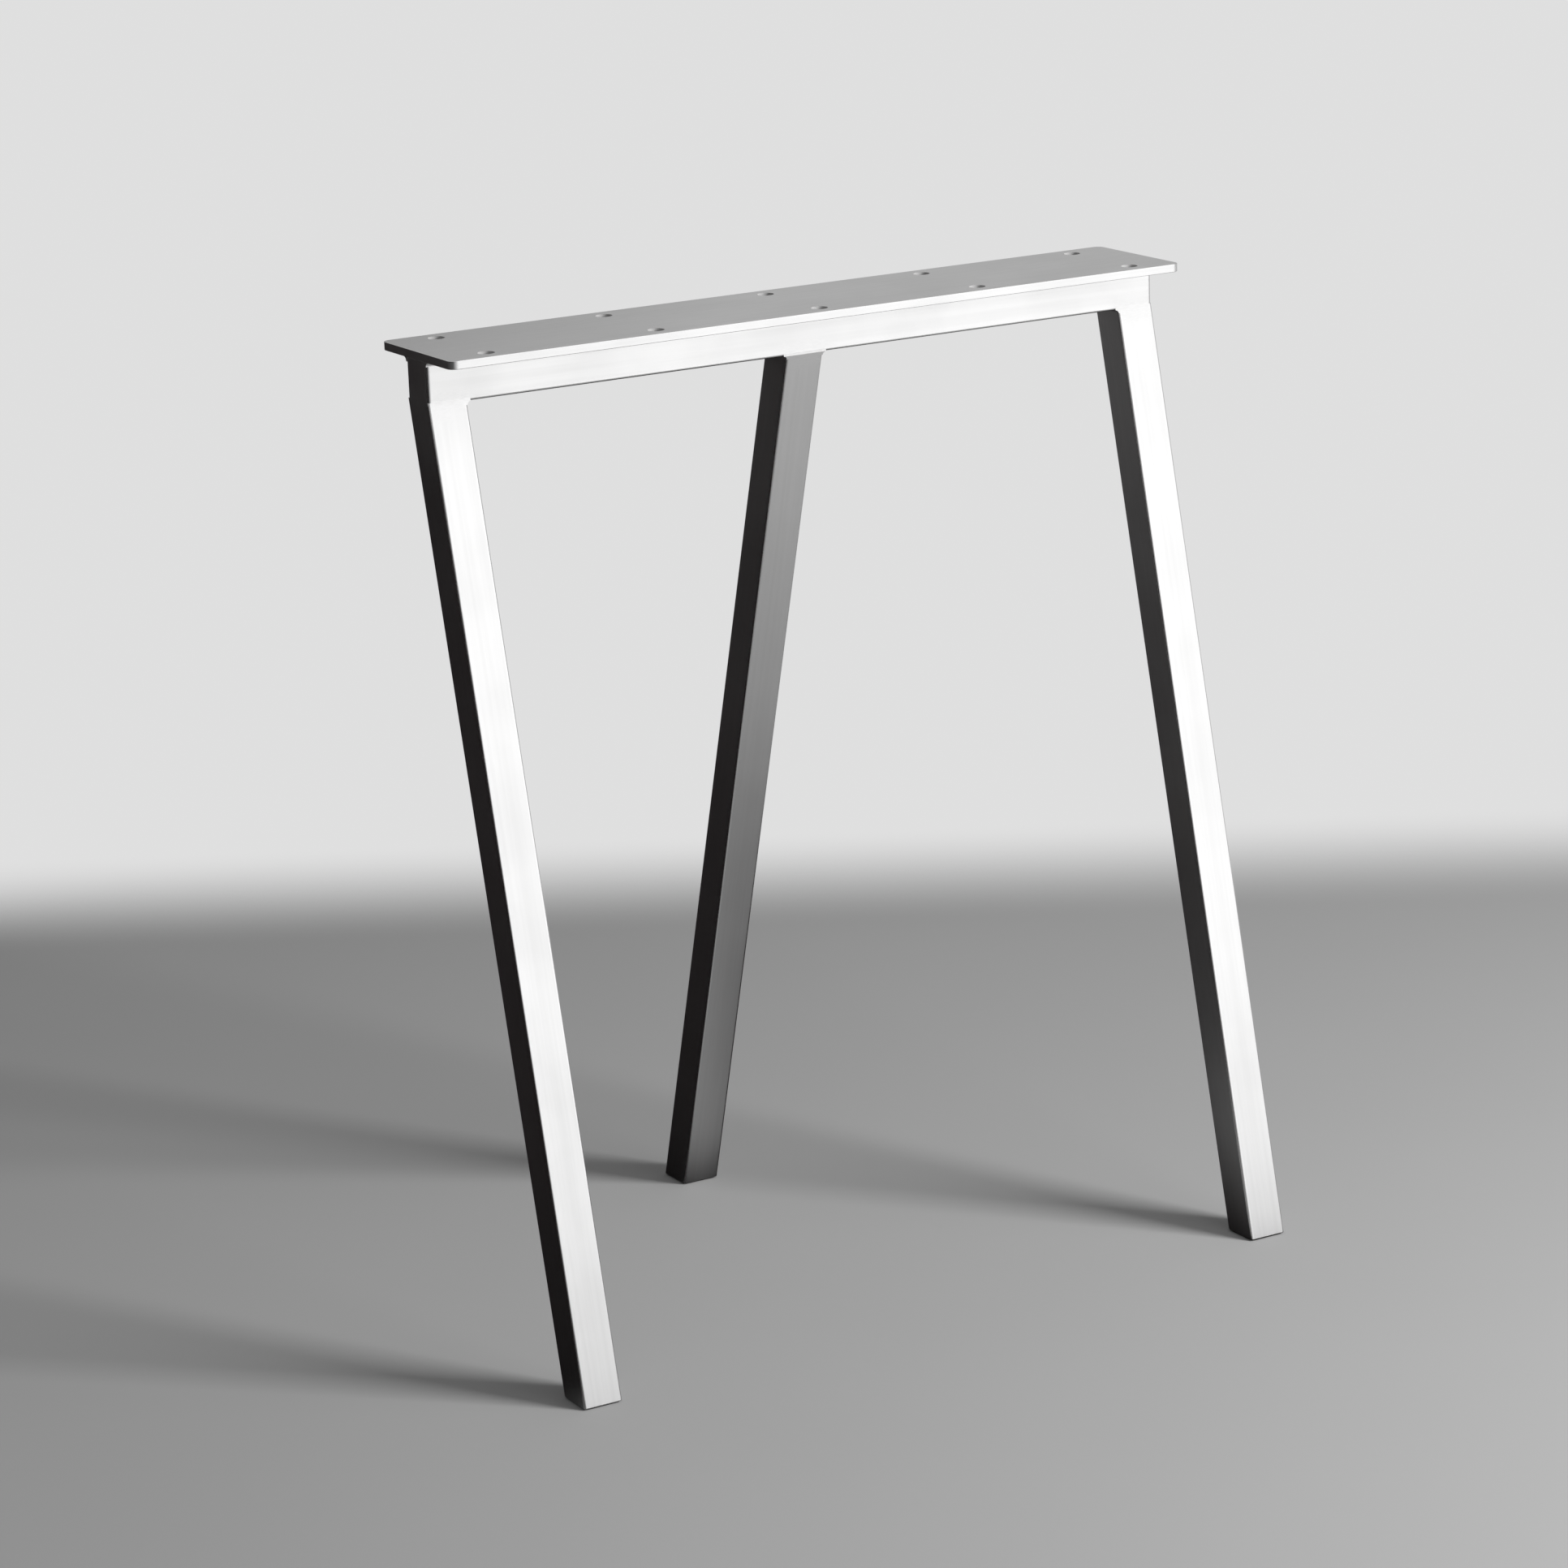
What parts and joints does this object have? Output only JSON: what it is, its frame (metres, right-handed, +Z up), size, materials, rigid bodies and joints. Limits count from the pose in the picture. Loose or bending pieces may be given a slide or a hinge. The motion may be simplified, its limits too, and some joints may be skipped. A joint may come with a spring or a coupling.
{
  "type": "table leg",
  "caption": "Welded table leg in brushed stainless steel: a drilled mounting plate on a square-tube crossbar, carried by slanting square-tube legs that stand on thin floor pads.",
  "frame": {"origin": "centre of the plate's top face, where the table top rests", "axes": "+Z up out of the plate, +X along the plate, -Y the side that the two end legs lean to, +Y the side that the middle leg leans to"},
  "size_m": [0.6, 0.3919, 0.72],
  "materials": {
    "plate_steel": "satin stainless steel, brushed along the plate",
    "tube_steel": "satin stainless steel, brushed along each tube",
    "weld_steel": "stainless weld metal, ground and brushed",
    "pad_rubber": "dull black sheet rubber"
  },
  "bodies": {
    "root": {"top_plate": "plate_steel", "crossbar_tube": "tube_steel", "crossbar_cap_left": "tube_steel", "crossbar_cap_right": "tube_steel", "leg_front_left": "tube_steel", "leg_front_right": "tube_steel", "leg_rear": "tube_steel", "foot_cap_front_left": "tube_steel", "foot_cap_front_right": "tube_steel", "foot_cap_rear": "tube_steel", "foot_pad_front_left": "pad_rubber", "foot_pad_front_right": "pad_rubber", "foot_pad_rear": "pad_rubber", "weld_plate_front": "weld_steel", "weld_plate_back": "weld_steel", "weld_leg_front_left": "weld_steel", "weld_leg_front_right": "weld_steel", "weld_leg_rear": "weld_steel"}
  },
  "joints": []
}
